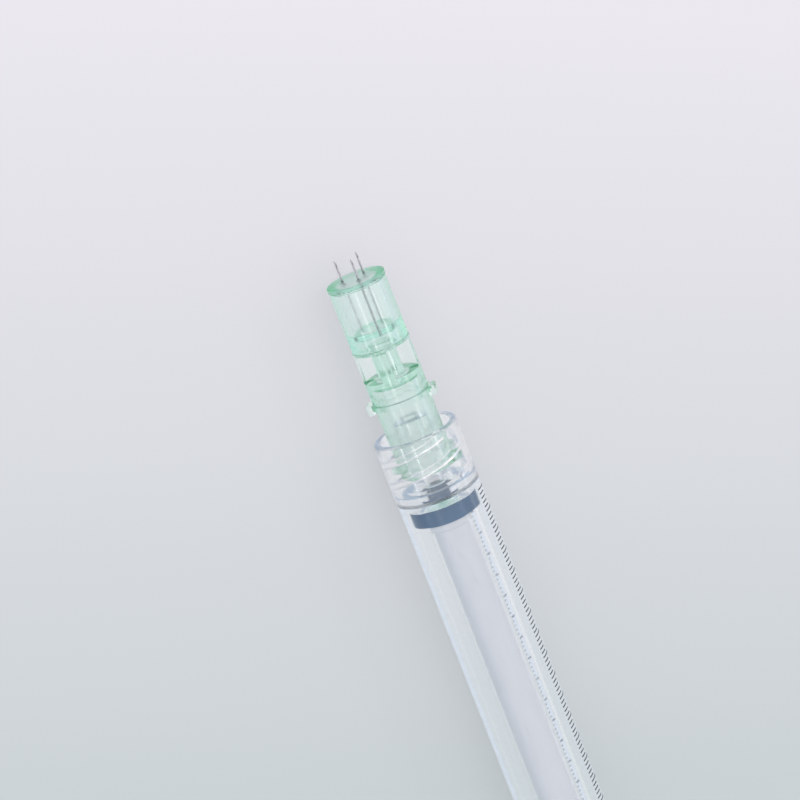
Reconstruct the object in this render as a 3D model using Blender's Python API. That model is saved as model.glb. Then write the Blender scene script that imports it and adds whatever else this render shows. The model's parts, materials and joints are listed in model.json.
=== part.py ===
"""Triple mesotherapy needle, locked on the 1 ml syringe that it is used with.

Every piece is modelled on one axis: local Z runs from the needles' face (0) towards the thumb press,
and an angle is counted round that axis from local X. The empty called syringe_axis then lays the
whole object on its side: local Z becomes world X, local X becomes world Y and local Y world Z.
"""
import math

import bmesh
import bpy
from mathutils import Matrix, Vector

MM = 0.001

# Facets round the axis, and round a needle
SEGMENTS = 48
NEEDLE_SEGMENTS = 12

# Running and seating gaps between pieces
SEAT_GAP = 0.02 * MM
CONE_GAP = 0.02 * MM
COLLAR_PLAY = 0.05 * MM
THREAD_PLAY = 0.05 * MM
LUG_CLEARANCE = 0.085 * MM
CREST_CLEARANCE = 0.4 * MM
LIP_CLEARANCE = 0.22 * MM
NOSE_CLEARANCE = 0.1 * MM
ROD_CLEARANCE = 0.35 * MM
KNOB_CLEARANCE = 0.03 * MM

# Needles
NEEDLE_COUNT = 3
NEEDLE_RADIUS = 0.1175 * MM
NEEDLE_BORE = 0.055 * MM
NEEDLE_EXPOSED = 2.5 * MM
NEEDLE_CIRCLE = 1.47 * MM
NEEDLE_FIRST_ANGLE = math.radians(108)
NEEDLE_BEVEL = math.radians(15)
NEEDLE_END_PROUD = 0.1 * MM
GLUE_RADIUS = 0.36 * MM
GLUE_HEIGHT = 0.2 * MM

# Cap over the needles: a plate, a clear chamber and a skirt
PLATE_THICKNESS = 0.6 * MM
PLATE_RIM = 0.07 * MM
CHAMBER_DEPTH = 5.1 * MM
CHAMBER_RADIUS = 2.3 * MM
CAP_WALL = 0.92 * MM

# Carrier that the needles are bonded in, with the manifold recess under it
CARRIER_LENGTH = 1.95 * MM
CARRIER_FLOOR = 0.7 * MM
CARRIER_WALL = 0.6 * MM

# Hub: boss with the funnel, top web, ribbed middle, lower web, eared ring and female cone
BOSS_HEIGHT = 0.4 * MM
BOSS_WALL = 0.45 * MM
FUNNEL_RADIUS = 1.05 * MM
FUNNEL_DEPTH = 0.9 * MM
FEED_RADIUS = 0.45 * MM
BEAD_HEIGHT = 0.07 * MM
BEAD_WIDTH = 0.3 * MM
TOP_WEB = 0.35 * MM
POCKET_LENGTH = 3.3 * MM
RIB_COUNT = 4
RIB_WIDTH = math.radians(27)
LOWER_WEB = 2.5 * MM
RING_HEIGHT = 0.25 * MM
RING_WIDTH = 0.6 * MM
EAR_HEIGHT = 0.5 * MM
EAR_WIDTH = 1.7 * MM
EAR_LENGTH = 1.1 * MM
SKIRT_LENGTH = 8.25 * MM

# Standard 6 % cone of the needle socket and the syringe tip
CONE_SLOPE = 0.03
SOCKET_MOUTH_RADIUS = 2.15 * MM
SOCKET_DEPTH = 10.4 * MM
SOCKET_WALL = 0.97 * MM
TIP_REACH = 6.15 * MM
TIP_BORE = 0.7 * MM

# Locking lugs and the double-start right-hand thread that they run in
THREAD_LEAD = 5.0 * MM
THREAD_COUNT = 2
THREAD_STEP = math.radians(7.5)
FLANK_SLOPE = 0.25
CREST_HALF_WIDTH = 0.32 * MM
LUG_TIP_RADIUS = 3.915 * MM
LUG_TIP_HALF_WIDTH = 0.42 * MM
LUG_ANGLE = math.radians(40)
LUG_HALF_ARC = math.radians(22.5)
LUG_FROM_END = 1.0 * MM
THREAD_FROM_MOUTH = 0.75 * MM
THREAD_FROM_LIP = 0.35 * MM

# Lock collar, which snaps over the lip of the barrel's neck and turns on it
COLLAR_WALL = 0.75 * MM
COLLAR_REACH = 6.0 * MM
COLLAR_CHAMFER = 0.18 * MM

# Barrel
HUB_STANDOFF = 1.45 * MM
LIP_WIDTH = 0.4 * MM
LIP_HEIGHT = 0.3 * MM
NECK_LENGTH = 0.9 * MM
COLLAR_STEP = 0.05 * MM
BARREL_LENGTH = 62.6 * MM
BORE_RADIUS = 2.475 * MM
BORE_LEAD_IN = 0.35 * MM
SHOULDER_CHAMFER = 0.15 * MM
FRONT_CONE = 0.7 * MM
NOSE_SEAT = 1.6 * MM
TIP_ROOT = 0.2 * MM
FLANGE_WIDTH = 20.0 * MM
FLANGE_THICKNESS = 1.6 * MM
FLANGE_BEVEL = 0.3 * MM

# Stopper
NOSE_RADIUS = 1.25 * MM
NOSE_GAP = 0.15 * MM
STOPPER_FRONT_GAP = 0.2 * MM
STOPPER_SHOULDER = 0.17 * MM
STOPPER_RIB = 1.65 * MM
RIB_EDGE = 0.12 * MM
KNOB_RADIUS = 0.95 * MM
KNOB_NECK = 0.6 * MM
KNOB_LENGTH = 0.5 * MM
KNOB_NECK_LENGTH = 0.5 * MM

# Plunger rod and thumb press
ROD_DISC_LENGTH = 0.7 * MM
ROD_DISC_GAP = 0.12 * MM
ROD_BEYOND_FLANGE = 6.4 * MM
PRESS_RADIUS = 4.5 * MM
PRESS_THICKNESS = 1.5 * MM
PRESS_FILLET = 0.8 * MM
PRESS_EDGE = 0.3 * MM

# Colours
COLOURS = {
    "green_clear": ((0.52, 0.80, 0.64), 0.12, 0.0),
    "green_deep": ((0.36, 0.72, 0.52), 0.14, 0.0),
    "steel": ((0.62, 0.63, 0.66), 0.25, 1.0),
    "glue_clear": ((0.85, 0.90, 0.88), 0.10, 0.0),
    "clear_plastic": ((0.84, 0.86, 0.92), 0.08, 0.0),
    "barrel_plastic": ((0.76, 0.82, 0.90), 0.08, 0.0),
    "rubber_slate": ((0.10, 0.15, 0.22), 0.55, 0.0),
    "rod_plastic": ((0.86, 0.86, 0.90), 0.30, 0.0),
}

# Stations along the axis, worked out from the sizes above
CHAMBER_START = PLATE_THICKNESS
CARRIER_START = CHAMBER_START + CHAMBER_DEPTH
BODY_START = CARRIER_START + CARRIER_LENGTH
BOSS_START = BODY_START - BOSS_HEIGHT
FUNNEL_END = BODY_START + FUNNEL_DEPTH
POCKET_START = BODY_START + TOP_WEB
POCKET_END = POCKET_START + POCKET_LENGTH
RING_START = POCKET_END + LOWER_WEB
RING_END = RING_START + RING_WIDTH
HUB_END = RING_END + SKIRT_LENGTH
SOCKET_START = HUB_END - SOCKET_DEPTH
TIP_START = HUB_END - TIP_REACH
LIP_START = HUB_END + HUB_STANDOFF
NECK_START = LIP_START + LIP_WIDTH
SHOULDER = NECK_START + NECK_LENGTH
COLLAR_MOUTH = LIP_START - COLLAR_REACH
COLLAR_FLOOR = NECK_START + COLLAR_PLAY
COLLAR_END = SHOULDER - COLLAR_PLAY
SEAT_START = LIP_START + TIP_ROOT
CONE_START = SEAT_START + NOSE_SEAT
BORE_START = CONE_START + FRONT_CONE
STOPPER_START = BORE_START + STOPPER_FRONT_GAP
STOPPER_END = STOPPER_START + STOPPER_RIB
FLANGE_START = SHOULDER + BARREL_LENGTH
FLANGE_END = FLANGE_START + FLANGE_THICKNESS
PRESS_START = FLANGE_END + ROD_BEYOND_FLANGE
PRESS_END = PRESS_START + PRESS_THICKNESS
LUG_CENTRE = HUB_END - LUG_FROM_END

# Radii worked out from the sizes above
CAP_RADIUS = CHAMBER_RADIUS + CAP_WALL
CARRIER_RADIUS = CHAMBER_RADIUS - SEAT_GAP
BOSS_RADIUS = FUNNEL_RADIUS + BOSS_WALL
SKIRT_RADIUS = SOCKET_MOUTH_RADIUS + SOCKET_WALL
CREST_RADIUS = SKIRT_RADIUS + CREST_CLEARANCE
GROOVE_RADIUS = LUG_TIP_RADIUS + LUG_CLEARANCE
COLLAR_RADIUS = GROOVE_RADIUS + COLLAR_WALL
BARREL_RADIUS = COLLAR_RADIUS - COLLAR_STEP
LIP_RADIUS = CREST_RADIUS - LIP_CLEARANCE
NECK_RADIUS = LIP_RADIUS - LIP_HEIGHT
NOSE_BORE = NOSE_RADIUS + NOSE_CLEARANCE
ROD_RADIUS = BORE_RADIUS - ROD_CLEARANCE
RIB_RADIUS = BORE_RADIUS - SEAT_GAP


def socket_radius(station):
    """Radius of the female cone at a station."""
    return SOCKET_MOUTH_RADIUS - CONE_SLOPE * (HUB_END - station)


def tip_radius(station):
    """Radius of the male cone at a station: the female cone less its gap."""
    return socket_radius(station) - CONE_GAP


def clear_scene():
    for old in list(bpy.data.objects):
        bpy.data.objects.remove(old, do_unlink=True)


def make_material(name):
    colour, roughness, metallic = COLOURS[name]
    material = bpy.data.materials.new(name)
    material.use_nodes = True
    shader = material.node_tree.nodes["Principled BSDF"]
    shader.inputs["Base Color"].default_value = (*colour, 1.0)
    shader.inputs["Roughness"].default_value = roughness
    shader.inputs["Metallic"].default_value = metallic
    material.diffuse_color = (*colour, 1.0)
    return material


def make_empty(name, parent=None):
    empty = bpy.data.objects.new(name, None)
    empty.empty_display_size = 5 * MM
    empty.parent = parent
    bpy.context.scene.collection.objects.link(empty)
    return empty


def add_piece(name, shape, parent, material):
    """Turns a finished bmesh into a named, smooth-shaded object."""
    bmesh.ops.recalc_face_normals(shape, faces=shape.faces)
    mesh = bpy.data.meshes.new(name)
    shape.to_mesh(mesh)
    shape.free()
    mesh.materials.append(material)
    mesh.shade_smooth()
    mesh.set_sharp_from_angle(angle=math.radians(25))
    piece = bpy.data.objects.new(name, mesh)
    piece.parent = parent
    bpy.context.scene.collection.objects.link(piece)
    return piece


def add_tool(name, shape, parent, target, operation):
    """Adds a hidden shape that is cut from, or joined to, a piece."""
    bmesh.ops.recalc_face_normals(shape, faces=shape.faces)
    mesh = bpy.data.meshes.new(name)
    shape.to_mesh(mesh)
    shape.free()
    tool = bpy.data.objects.new(name, mesh)
    tool.parent = parent
    tool.hide_render = True
    tool.display_type = "WIRE"
    bpy.context.scene.collection.objects.link(tool)
    boolean = target.modifiers.new(name, "BOOLEAN")
    boolean.operation = operation
    boolean.solver = "EXACT"
    boolean.object = tool


def turned(profile, segments=SEGMENTS):
    """Revolves a profile of (radius, station) points. One that starts and ends on the axis stays open there."""
    shape = bmesh.new()
    verts = [shape.verts.new((radius, 0.0, station)) for radius, station in profile]
    edges = [shape.edges.new(pair) for pair in zip(verts, verts[1:])]
    if profile[0][0] > 0.0:
        edges.append(shape.edges.new((verts[-1], verts[0])))
    bmesh.ops.spin(
        shape,
        geom=verts + edges,
        cent=(0.0, 0.0, 0.0),
        axis=(0.0, 0.0, 1.0),
        angle=math.tau,
        steps=segments,
        use_merge=True,
    )
    bmesh.ops.remove_doubles(shape, verts=shape.verts, dist=0.0001 * MM)
    return shape


def sweep(shape, section, start, turn, lead=0.0, step=THREAD_STEP):
    """Adds a (radius, station) section swept part of the way round, advancing by lead in a full turn."""
    steps = max(1, round(turn / step))
    verts = [
        shape.verts.new((radius * math.cos(start), radius * math.sin(start), station))
        for radius, station in section
    ]
    edges = [shape.edges.new(pair) for pair in zip(verts, verts[1:] + verts[:1])]
    bmesh.ops.spin(
        shape,
        geom=verts + edges,
        cent=(0.0, 0.0, 0.0),
        axis=(0.0, 0.0, 1.0),
        dvec=(0.0, 0.0, lead * turn / math.tau / steps),
        angle=turn,
        steps=steps,
    )
    open_edges = [edge for edge in shape.edges if edge.is_boundary]
    bmesh.ops.holes_fill(shape, edges=open_edges, sides=0)


def around(count, first):
    """Angles of a number of equally spaced places round the axis."""
    return [first + math.tau * index / count for index in range(count)]


def needle_place(angle):
    return Vector((NEEDLE_CIRCLE * math.cos(angle), NEEDLE_CIRCLE * math.sin(angle), 0.0))


def needle_holes(start, end):
    """Round bars through every needle's place, to cut the holes that the needles are bonded in."""
    holes = bmesh.new()
    radius = NEEDLE_RADIUS + SEAT_GAP
    for angle in around(NEEDLE_COUNT, NEEDLE_FIRST_ANGLE):
        middle = needle_place(angle) + Vector((0.0, 0.0, (start + end) / 2))
        bmesh.ops.create_cone(
            holes,
            cap_ends=True,
            segments=NEEDLE_SEGMENTS,
            radius1=radius,
            radius2=radius,
            depth=end - start,
            matrix=Matrix.Translation(middle),
        )
    return holes


def build_needles(parent, steel, glue):
    tip = -NEEDLE_EXPOSED
    end = CARRIER_START + CARRIER_FLOOR + NEEDLE_END_PROUD
    tube = [(NEEDLE_BORE, end), (NEEDLE_RADIUS, end), (NEEDLE_RADIUS, tip), (NEEDLE_BORE, tip)]
    bore = NEEDLE_RADIUS + SEAT_GAP
    drop = [(bore, -SEAT_GAP), (GLUE_RADIUS, -SEAT_GAP)]
    for share in (0.3, 0.6, 0.85):
        swell = share * math.pi / 2
        radius = bore + (GLUE_RADIUS - bore) * math.cos(swell)
        drop.append((radius, -SEAT_GAP - GLUE_HEIGHT * math.sin(swell)))
    drop.append((bore, -SEAT_GAP - GLUE_HEIGHT))
    for number, angle in enumerate(around(NEEDLE_COUNT, NEEDLE_FIRST_ANGLE), start=1):
        shape = turned(tube, NEEDLE_SEGMENTS)
        for vert in shape.verts:
            if vert.co.z < 0.0:
                vert.co.z += (NEEDLE_RADIUS + vert.co.y) / math.tan(NEEDLE_BEVEL)
        needle = add_piece(f"needle_{number}", shape, parent, steel)
        needle.location = needle_place(angle)
        bead = add_piece(f"adhesive_bead_{number}", turned(drop, NEEDLE_SEGMENTS), parent, glue)
        bead.location = needle_place(angle)


def build_cap(parent, material):
    rim = CAP_RADIUS + PLATE_RIM
    end = BODY_START - SEAT_GAP
    edge = PLATE_RIM
    profile = [
        (0.0, 0.0),
        (rim - edge, 0.0),
        (rim, edge),
        (rim, PLATE_THICKNESS),
        (CAP_RADIUS, PLATE_THICKNESS + edge),
        (CAP_RADIUS, end),
        (CHAMBER_RADIUS, end),
        (CHAMBER_RADIUS, CHAMBER_START),
        (0.0, CHAMBER_START),
    ]
    cap = add_piece("needle_cap", turned(profile), parent, material)
    holes = needle_holes(-PLATE_THICKNESS, 2 * PLATE_THICKNESS)
    add_tool("cap_needle_holes", holes, parent, cap, "DIFFERENCE")


def build_carrier(parent, material):
    recess = CARRIER_START + CARRIER_FLOOR
    end = BODY_START - SEAT_GAP
    inner = CARRIER_RADIUS - CARRIER_WALL
    profile = [
        (0.0, CARRIER_START),
        (CARRIER_RADIUS, CARRIER_START),
        (CARRIER_RADIUS, end),
        (inner, end),
        (inner, recess),
        (0.0, recess),
    ]
    carrier = add_piece("needle_carrier", turned(profile), parent, material)
    holes = needle_holes(CARRIER_START - CARRIER_FLOOR, recess + CARRIER_FLOOR / 2)
    add_tool("carrier_needle_holes", holes, parent, carrier, "DIFFERENCE")


def build_hub(parent, material):
    bead = CAP_RADIUS + BEAD_HEIGHT
    ring = CAP_RADIUS + RING_HEIGHT
    profile = [
        (FUNNEL_RADIUS, BOSS_START),
        (BOSS_RADIUS, BOSS_START),
        (BOSS_RADIUS, BODY_START),
        (bead, BODY_START),
        (bead, BODY_START + BEAD_WIDTH),
        (CAP_RADIUS, BODY_START + BEAD_WIDTH),
        (CAP_RADIUS, RING_START),
        (ring, RING_START),
        (ring, RING_END),
        (SKIRT_RADIUS, RING_END),
        (SKIRT_RADIUS, HUB_END),
        (SOCKET_MOUTH_RADIUS, HUB_END),
        (socket_radius(SOCKET_START), SOCKET_START),
        (FEED_RADIUS, SOCKET_START),
        (FEED_RADIUS, FUNNEL_END),
        (FUNNEL_RADIUS, FUNNEL_END),
    ]
    hub = add_piece("hub_body", turned(profile), parent, material)

    pockets = bmesh.new()
    outside = 2 * CAP_RADIUS
    section = [
        (BOSS_RADIUS, POCKET_START),
        (outside, POCKET_START),
        (outside, POCKET_END),
        (BOSS_RADIUS, POCKET_END),
    ]
    arc = math.tau / RIB_COUNT - RIB_WIDTH
    for angle in around(RIB_COUNT, LUG_ANGLE + RIB_WIDTH / 2):
        sweep(pockets, section, angle, arc)
    add_tool("hub_pockets", pockets, parent, hub, "DIFFERENCE")

    ears = bmesh.new()
    reach = ring + EAR_HEIGHT
    middle = RING_START + EAR_LENGTH / 2
    for angle in around(2, LUG_ANGLE):
        ear = bmesh.ops.create_cube(ears, size=1.0)["verts"]
        bmesh.ops.scale(ears, vec=(reach - SKIRT_RADIUS, EAR_WIDTH, EAR_LENGTH), verts=ear)
        bmesh.ops.translate(ears, vec=((reach + SKIRT_RADIUS) / 2, 0.0, middle), verts=ear)
        bmesh.ops.rotate(ears, matrix=Matrix.Rotation(angle, 3, "Z"), verts=ear)
    add_tool("hub_ears", ears, parent, hub, "UNION")

    lugs = bmesh.new()
    root = SKIRT_RADIUS - SOCKET_WALL / 3
    root_half = LUG_TIP_HALF_WIDTH + FLANK_SLOPE * (LUG_TIP_RADIUS - root)
    lift = THREAD_LEAD * LUG_HALF_ARC / math.tau
    low = LUG_CENTRE - lift
    section = [
        (root, low - root_half),
        (LUG_TIP_RADIUS, low - LUG_TIP_HALF_WIDTH),
        (LUG_TIP_RADIUS, low + LUG_TIP_HALF_WIDTH),
        (root, low + root_half),
    ]
    for angle in around(THREAD_COUNT, LUG_ANGLE - LUG_HALF_ARC):
        sweep(lugs, section, angle, 2 * LUG_HALF_ARC, THREAD_LEAD)
    add_tool("hub_lugs", lugs, parent, hub, "UNION")


def build_collar(parent, material):
    bore = NECK_RADIUS + COLLAR_PLAY
    edge = COLLAR_CHAMFER
    profile = [
        (GROOVE_RADIUS + edge, COLLAR_MOUTH),
        (COLLAR_RADIUS - edge, COLLAR_MOUTH),
        (COLLAR_RADIUS, COLLAR_MOUTH + edge),
        (COLLAR_RADIUS, COLLAR_END - edge),
        (COLLAR_RADIUS - edge, COLLAR_END),
        (bore, COLLAR_END),
        (bore, COLLAR_FLOOR),
        (GROOVE_RADIUS, COLLAR_FLOOR),
        (GROOVE_RADIUS, COLLAR_MOUTH + edge),
    ]
    collar = add_piece("lock_collar", turned(profile), parent, material)

    # Each start passes the lug just on its mouth side, so that turning the collar draws the hub in
    both_halves = LUG_TIP_HALF_WIDTH + CREST_HALF_WIDTH + FLANK_SLOPE * (LUG_TIP_RADIUS - CREST_RADIUS)
    at_lug = LUG_CENTRE - both_halves - THREAD_PLAY
    low = COLLAR_MOUTH + THREAD_FROM_MOUTH
    high = LIP_START - THREAD_FROM_LIP
    turns = math.floor((high - low) / THREAD_LEAD * math.tau / THREAD_STEP) * THREAD_STEP
    start = LUG_ANGLE - (at_lug - low) / THREAD_LEAD * math.tau
    root = GROOVE_RADIUS + COLLAR_WALL / 3
    root_half = CREST_HALF_WIDTH + FLANK_SLOPE * (root - CREST_RADIUS)
    section = [
        (CREST_RADIUS, low - CREST_HALF_WIDTH),
        (root, low - root_half),
        (root, low + root_half),
        (CREST_RADIUS, low + CREST_HALF_WIDTH),
    ]
    ridges = bmesh.new()
    for angle in around(THREAD_COUNT, start):
        sweep(ridges, section, angle, turns, THREAD_LEAD)
    add_tool("collar_thread", ridges, parent, collar, "UNION")


def flange_shape():
    """The finger flange: a plate with round ends, as deep as the collar is wide, so that it lies flat."""
    shape = bmesh.new()
    half_depth = COLLAR_RADIUS
    offset = FLANGE_WIDTH / 2 - half_depth
    verts = []
    for side, first in ((1, -math.pi / 2), (-1, math.pi / 2)):
        for index in range(SEGMENTS // 4 + 1):
            angle = first + math.pi * index / (SEGMENTS // 4)
            x = side * offset + half_depth * math.cos(angle)
            verts.append(shape.verts.new((x, half_depth * math.sin(angle), FLANGE_START)))
    face = shape.faces.new(verts)
    wall = bmesh.ops.extrude_face_region(shape, geom=[face])
    top = [item for item in wall["geom"] if isinstance(item, bmesh.types.BMVert)]
    bmesh.ops.translate(shape, vec=(0.0, 0.0, FLANGE_THICKNESS), verts=top)
    bmesh.ops.recalc_face_normals(shape, faces=shape.faces)
    rims = [edge for edge in shape.edges if abs(edge.verts[0].co.z - edge.verts[1].co.z) < MM / 1000]
    bmesh.ops.bevel(
        shape, geom=rims, offset=FLANGE_BEVEL, affect="EDGES", segments=1, profile=0.5, material=-1
    )
    return shape


def build_barrel(parent, material):
    edge = SHOULDER_CHAMFER
    outside = [
        (0.0, TIP_START),
        (tip_radius(TIP_START), TIP_START),
        (tip_radius(LIP_START), LIP_START),
        (LIP_RADIUS, LIP_START),
        (LIP_RADIUS, NECK_START),
        (NECK_RADIUS, NECK_START),
        (NECK_RADIUS, SHOULDER),
        (BARREL_RADIUS - edge, SHOULDER),
        (BARREL_RADIUS, SHOULDER + edge),
        (BARREL_RADIUS, FLANGE_START + FLANGE_THICKNESS / 2),
        (0.0, FLANGE_START + FLANGE_THICKNESS / 2),
    ]
    barrel = add_piece("barrel", turned(outside), parent, material)
    add_tool("barrel_flange", flange_shape(), parent, barrel, "UNION")
    hollow = [
        (0.0, TIP_START - TIP_REACH),
        (TIP_BORE, TIP_START - TIP_REACH),
        (TIP_BORE, SEAT_START),
        (NOSE_BORE, SEAT_START),
        (NOSE_BORE, CONE_START),
        (BORE_RADIUS, BORE_START),
        (BORE_RADIUS, FLANGE_END - BORE_LEAD_IN),
        (BORE_RADIUS + 2 * BORE_LEAD_IN, FLANGE_END + BORE_LEAD_IN),
        (0.0, FLANGE_END + BORE_LEAD_IN),
    ]
    add_tool("barrel_bore", turned(hollow), parent, barrel, "DIFFERENCE")


def build_stopper(parent, material):
    socket = STOPPER_END - KNOB_NECK_LENGTH
    knob = KNOB_RADIUS + KNOB_CLEARANCE
    neck = KNOB_NECK + KNOB_CLEARANCE
    nose_start = SEAT_START + NOSE_GAP
    profile = [
        (0.0, nose_start),
        (NOSE_RADIUS - RIB_EDGE, nose_start),
        (NOSE_RADIUS, nose_start + RIB_EDGE),
        (NOSE_RADIUS, CONE_START + STOPPER_SHOULDER),
        (RIB_RADIUS - STOPPER_SHOULDER, STOPPER_START - RIB_EDGE),
        (RIB_RADIUS, STOPPER_START),
        (RIB_RADIUS, STOPPER_END - RIB_EDGE),
        (RIB_RADIUS - RIB_EDGE, STOPPER_END),
        (neck, STOPPER_END),
        (neck, socket),
        (knob, socket),
        (knob, socket - KNOB_LENGTH - KNOB_CLEARANCE),
        (0.0, socket - KNOB_LENGTH - KNOB_CLEARANCE),
    ]
    add_piece("stopper", turned(profile), parent, material)


def build_rod(parent, material):
    knob_end = STOPPER_END - KNOB_NECK_LENGTH - KNOB_CLEARANCE
    disc_start = STOPPER_END + KNOB_CLEARANCE
    disc_end = disc_start + ROD_DISC_LENGTH
    disc = BORE_RADIUS - ROD_DISC_GAP
    profile = [
        (0.0, knob_end - KNOB_LENGTH + KNOB_CLEARANCE),
        (KNOB_RADIUS, knob_end - KNOB_LENGTH + KNOB_CLEARANCE),
        (KNOB_RADIUS, knob_end),
        (KNOB_NECK, knob_end),
        (KNOB_NECK, disc_start),
        (disc, disc_start),
        (disc, disc_end),
        (ROD_RADIUS, disc_end + ROD_DISC_GAP),
        (ROD_RADIUS, PRESS_START - PRESS_FILLET),
        (ROD_RADIUS + PRESS_FILLET, PRESS_START),
        (PRESS_RADIUS - PRESS_EDGE, PRESS_START),
        (PRESS_RADIUS, PRESS_START + PRESS_EDGE),
        (PRESS_RADIUS, PRESS_END - PRESS_EDGE),
        (PRESS_RADIUS - PRESS_EDGE, PRESS_END),
        (0.0, PRESS_END),
    ]
    add_piece("plunger_rod", turned(profile), parent, material)


def main():
    clear_scene()
    materials = {name: make_material(name) for name in COLOURS}
    axis = make_empty("syringe_axis")
    axis.rotation_euler = (math.pi / 2, 0.0, math.pi / 2)
    axis.location = (-(PRESS_END - NEEDLE_EXPOSED) / 2, 0.0, COLLAR_RADIUS)
    needle_unit = make_empty("needle_unit_axis", axis)
    collar = make_empty("collar_axis", axis)
    plunger = make_empty("plunger_axis", axis)

    build_needles(needle_unit, materials["steel"], materials["glue_clear"])
    build_cap(needle_unit, materials["green_clear"])
    build_carrier(needle_unit, materials["green_deep"])
    build_hub(needle_unit, materials["green_deep"])
    build_collar(collar, materials["clear_plastic"])
    build_barrel(axis, materials["barrel_plastic"])
    build_stopper(plunger, materials["rubber_slate"])
    build_rod(plunger, materials["rod_plastic"])


main()
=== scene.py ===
"""Looks of the triple mesotherapy needle on its 1 ml syringe.

Lengths along the object are stations, counted from the face that the needles stand on towards the
thumb press, and angles round its axis are counted from +Y towards +Z. A form that is turned or swept
round the axis has a profile, whose points are each a station, a radius and the fillet of its corner.
"""
import json
import math

import bmesh
import bpy
from mathutils import Matrix, Vector

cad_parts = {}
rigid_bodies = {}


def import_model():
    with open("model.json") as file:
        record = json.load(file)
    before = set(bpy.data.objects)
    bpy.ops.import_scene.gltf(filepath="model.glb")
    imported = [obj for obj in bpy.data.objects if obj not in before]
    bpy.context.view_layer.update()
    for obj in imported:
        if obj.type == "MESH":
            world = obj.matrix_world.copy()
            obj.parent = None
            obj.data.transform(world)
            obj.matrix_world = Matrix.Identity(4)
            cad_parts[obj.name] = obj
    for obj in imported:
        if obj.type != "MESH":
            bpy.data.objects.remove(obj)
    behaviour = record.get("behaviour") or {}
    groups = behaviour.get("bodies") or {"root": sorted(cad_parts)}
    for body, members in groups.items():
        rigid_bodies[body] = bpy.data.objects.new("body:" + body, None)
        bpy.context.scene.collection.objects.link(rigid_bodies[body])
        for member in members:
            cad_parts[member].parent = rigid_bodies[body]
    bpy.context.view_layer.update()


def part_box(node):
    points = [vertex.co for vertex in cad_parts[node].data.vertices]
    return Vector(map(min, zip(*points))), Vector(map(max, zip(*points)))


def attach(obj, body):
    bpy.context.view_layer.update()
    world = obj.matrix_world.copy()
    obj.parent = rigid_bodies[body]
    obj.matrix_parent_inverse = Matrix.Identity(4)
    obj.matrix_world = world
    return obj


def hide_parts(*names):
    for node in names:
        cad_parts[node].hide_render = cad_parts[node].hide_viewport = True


bl_info = {
    "name": "Triple Mesotherapy Needle",
    "version": (1, 0, 0),
    "blender": (4, 5, 0),
    "location": "View3D > Sidebar > Mesotherapy",
    "description": "Builds the finished pieces of a triple needle, its lock collar and its syringe",
    "category": "Object",
}

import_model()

MM = 0.001
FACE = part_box("needle_cap")[0].x
AXIS_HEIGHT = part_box("barrel")[1].z / 2

# Steps in a full turn of a large form, and of a needle
ROUND = 128
FINE = 24
# Segments of a rounded corner, and the angle past which an edge stays sharp
CORNER_SEGMENTS = 4
SHARP_ANGLE = math.radians(32)
# Points that are nearer than this are one point
WELD = 0.0001 * MM

# The lock: how much its cone's radius grows with its length, how much a thread or lug widens with
# its depth, and how many starts the thread, lugs and ears have
CONE_SLOPE = 0.03
FLANK_SLOPE = 0.25
STARTS = 2
HUB_END = 22.65 * MM
LUG_STATION = 21.65 * MM
LUG_RADIUS = 3.915 * MM
LUG_HALF = 0.42 * MM

WHITE = (1.0, 1.0, 1.0, 1.0)
# How deep the frosted face of the cap goes
FROST_DEPTH = 0.3 * MM


def length(name, description, millimetres):
    """A length property, given in millimetres and held in metres."""
    return bpy.props.FloatProperty(
        name=name,
        description=description,
        default=millimetres * MM,
        min=0.0,
        unit="LENGTH",
        precision=6,
    )


def turn(name, description, degrees):
    """An angle property, given in degrees and held in radians."""
    return bpy.props.FloatProperty(
        name=name,
        description=description,
        default=math.radians(degrees),
        unit="ROTATION",
    )


def tint(name, description, colour):
    """A colour property."""
    return bpy.props.FloatVectorProperty(
        name=name,
        description=description,
        default=colour,
        size=3,
        min=0.0,
        max=1.0,
        subtype="COLOR",
    )


def amount(name, description, value):
    """A plain number property."""
    return bpy.props.FloatProperty(name=name, description=description, default=value, min=0.0)


class MesoNeedleSizes(bpy.types.PropertyGroup):
    """Sizes of the needles and of the green hub that carries them"""

    radius: length("Needle radius", "Outer radius of a needle", 0.1175)
    bore: length("Needle bore", "Inner radius of a needle", 0.055)
    circle: length("Needle circle", "Radius of the circle that the needles stand on", 1.47)
    first_angle: turn("First needle", "Angle of the first needle round the axis", 108)
    bevel: turn("Needle bevel", "Angle of the ground point to the needle's axis", 15)
    glue_radius: length("Glue radius", "Radius of the adhesive spot round a needle", 0.36)
    glue_height: length("Glue height", "Height of the adhesive spot", 0.2)
    plate: length("Plate thickness", "Thickness of the cap's face", 0.6)
    chamber: length("Chamber radius", "Radius of the clear chamber inside the cap", 2.3)
    wall: length("Cap wall", "Thickness of the cap's wall", 0.92)
    socket: length("Socket radius", "Radius of the needle socket at its mouth", 2.15)
    skirt: length("Skirt radius", "Outer radius of the hub's lower part", 3.12)
    lug_angle: turn("Lug angle", "Angle of the first locking lug, ear and rib", 40)
    rib_width: turn("Rib width", "Angle that a rib fills", 27)


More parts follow.
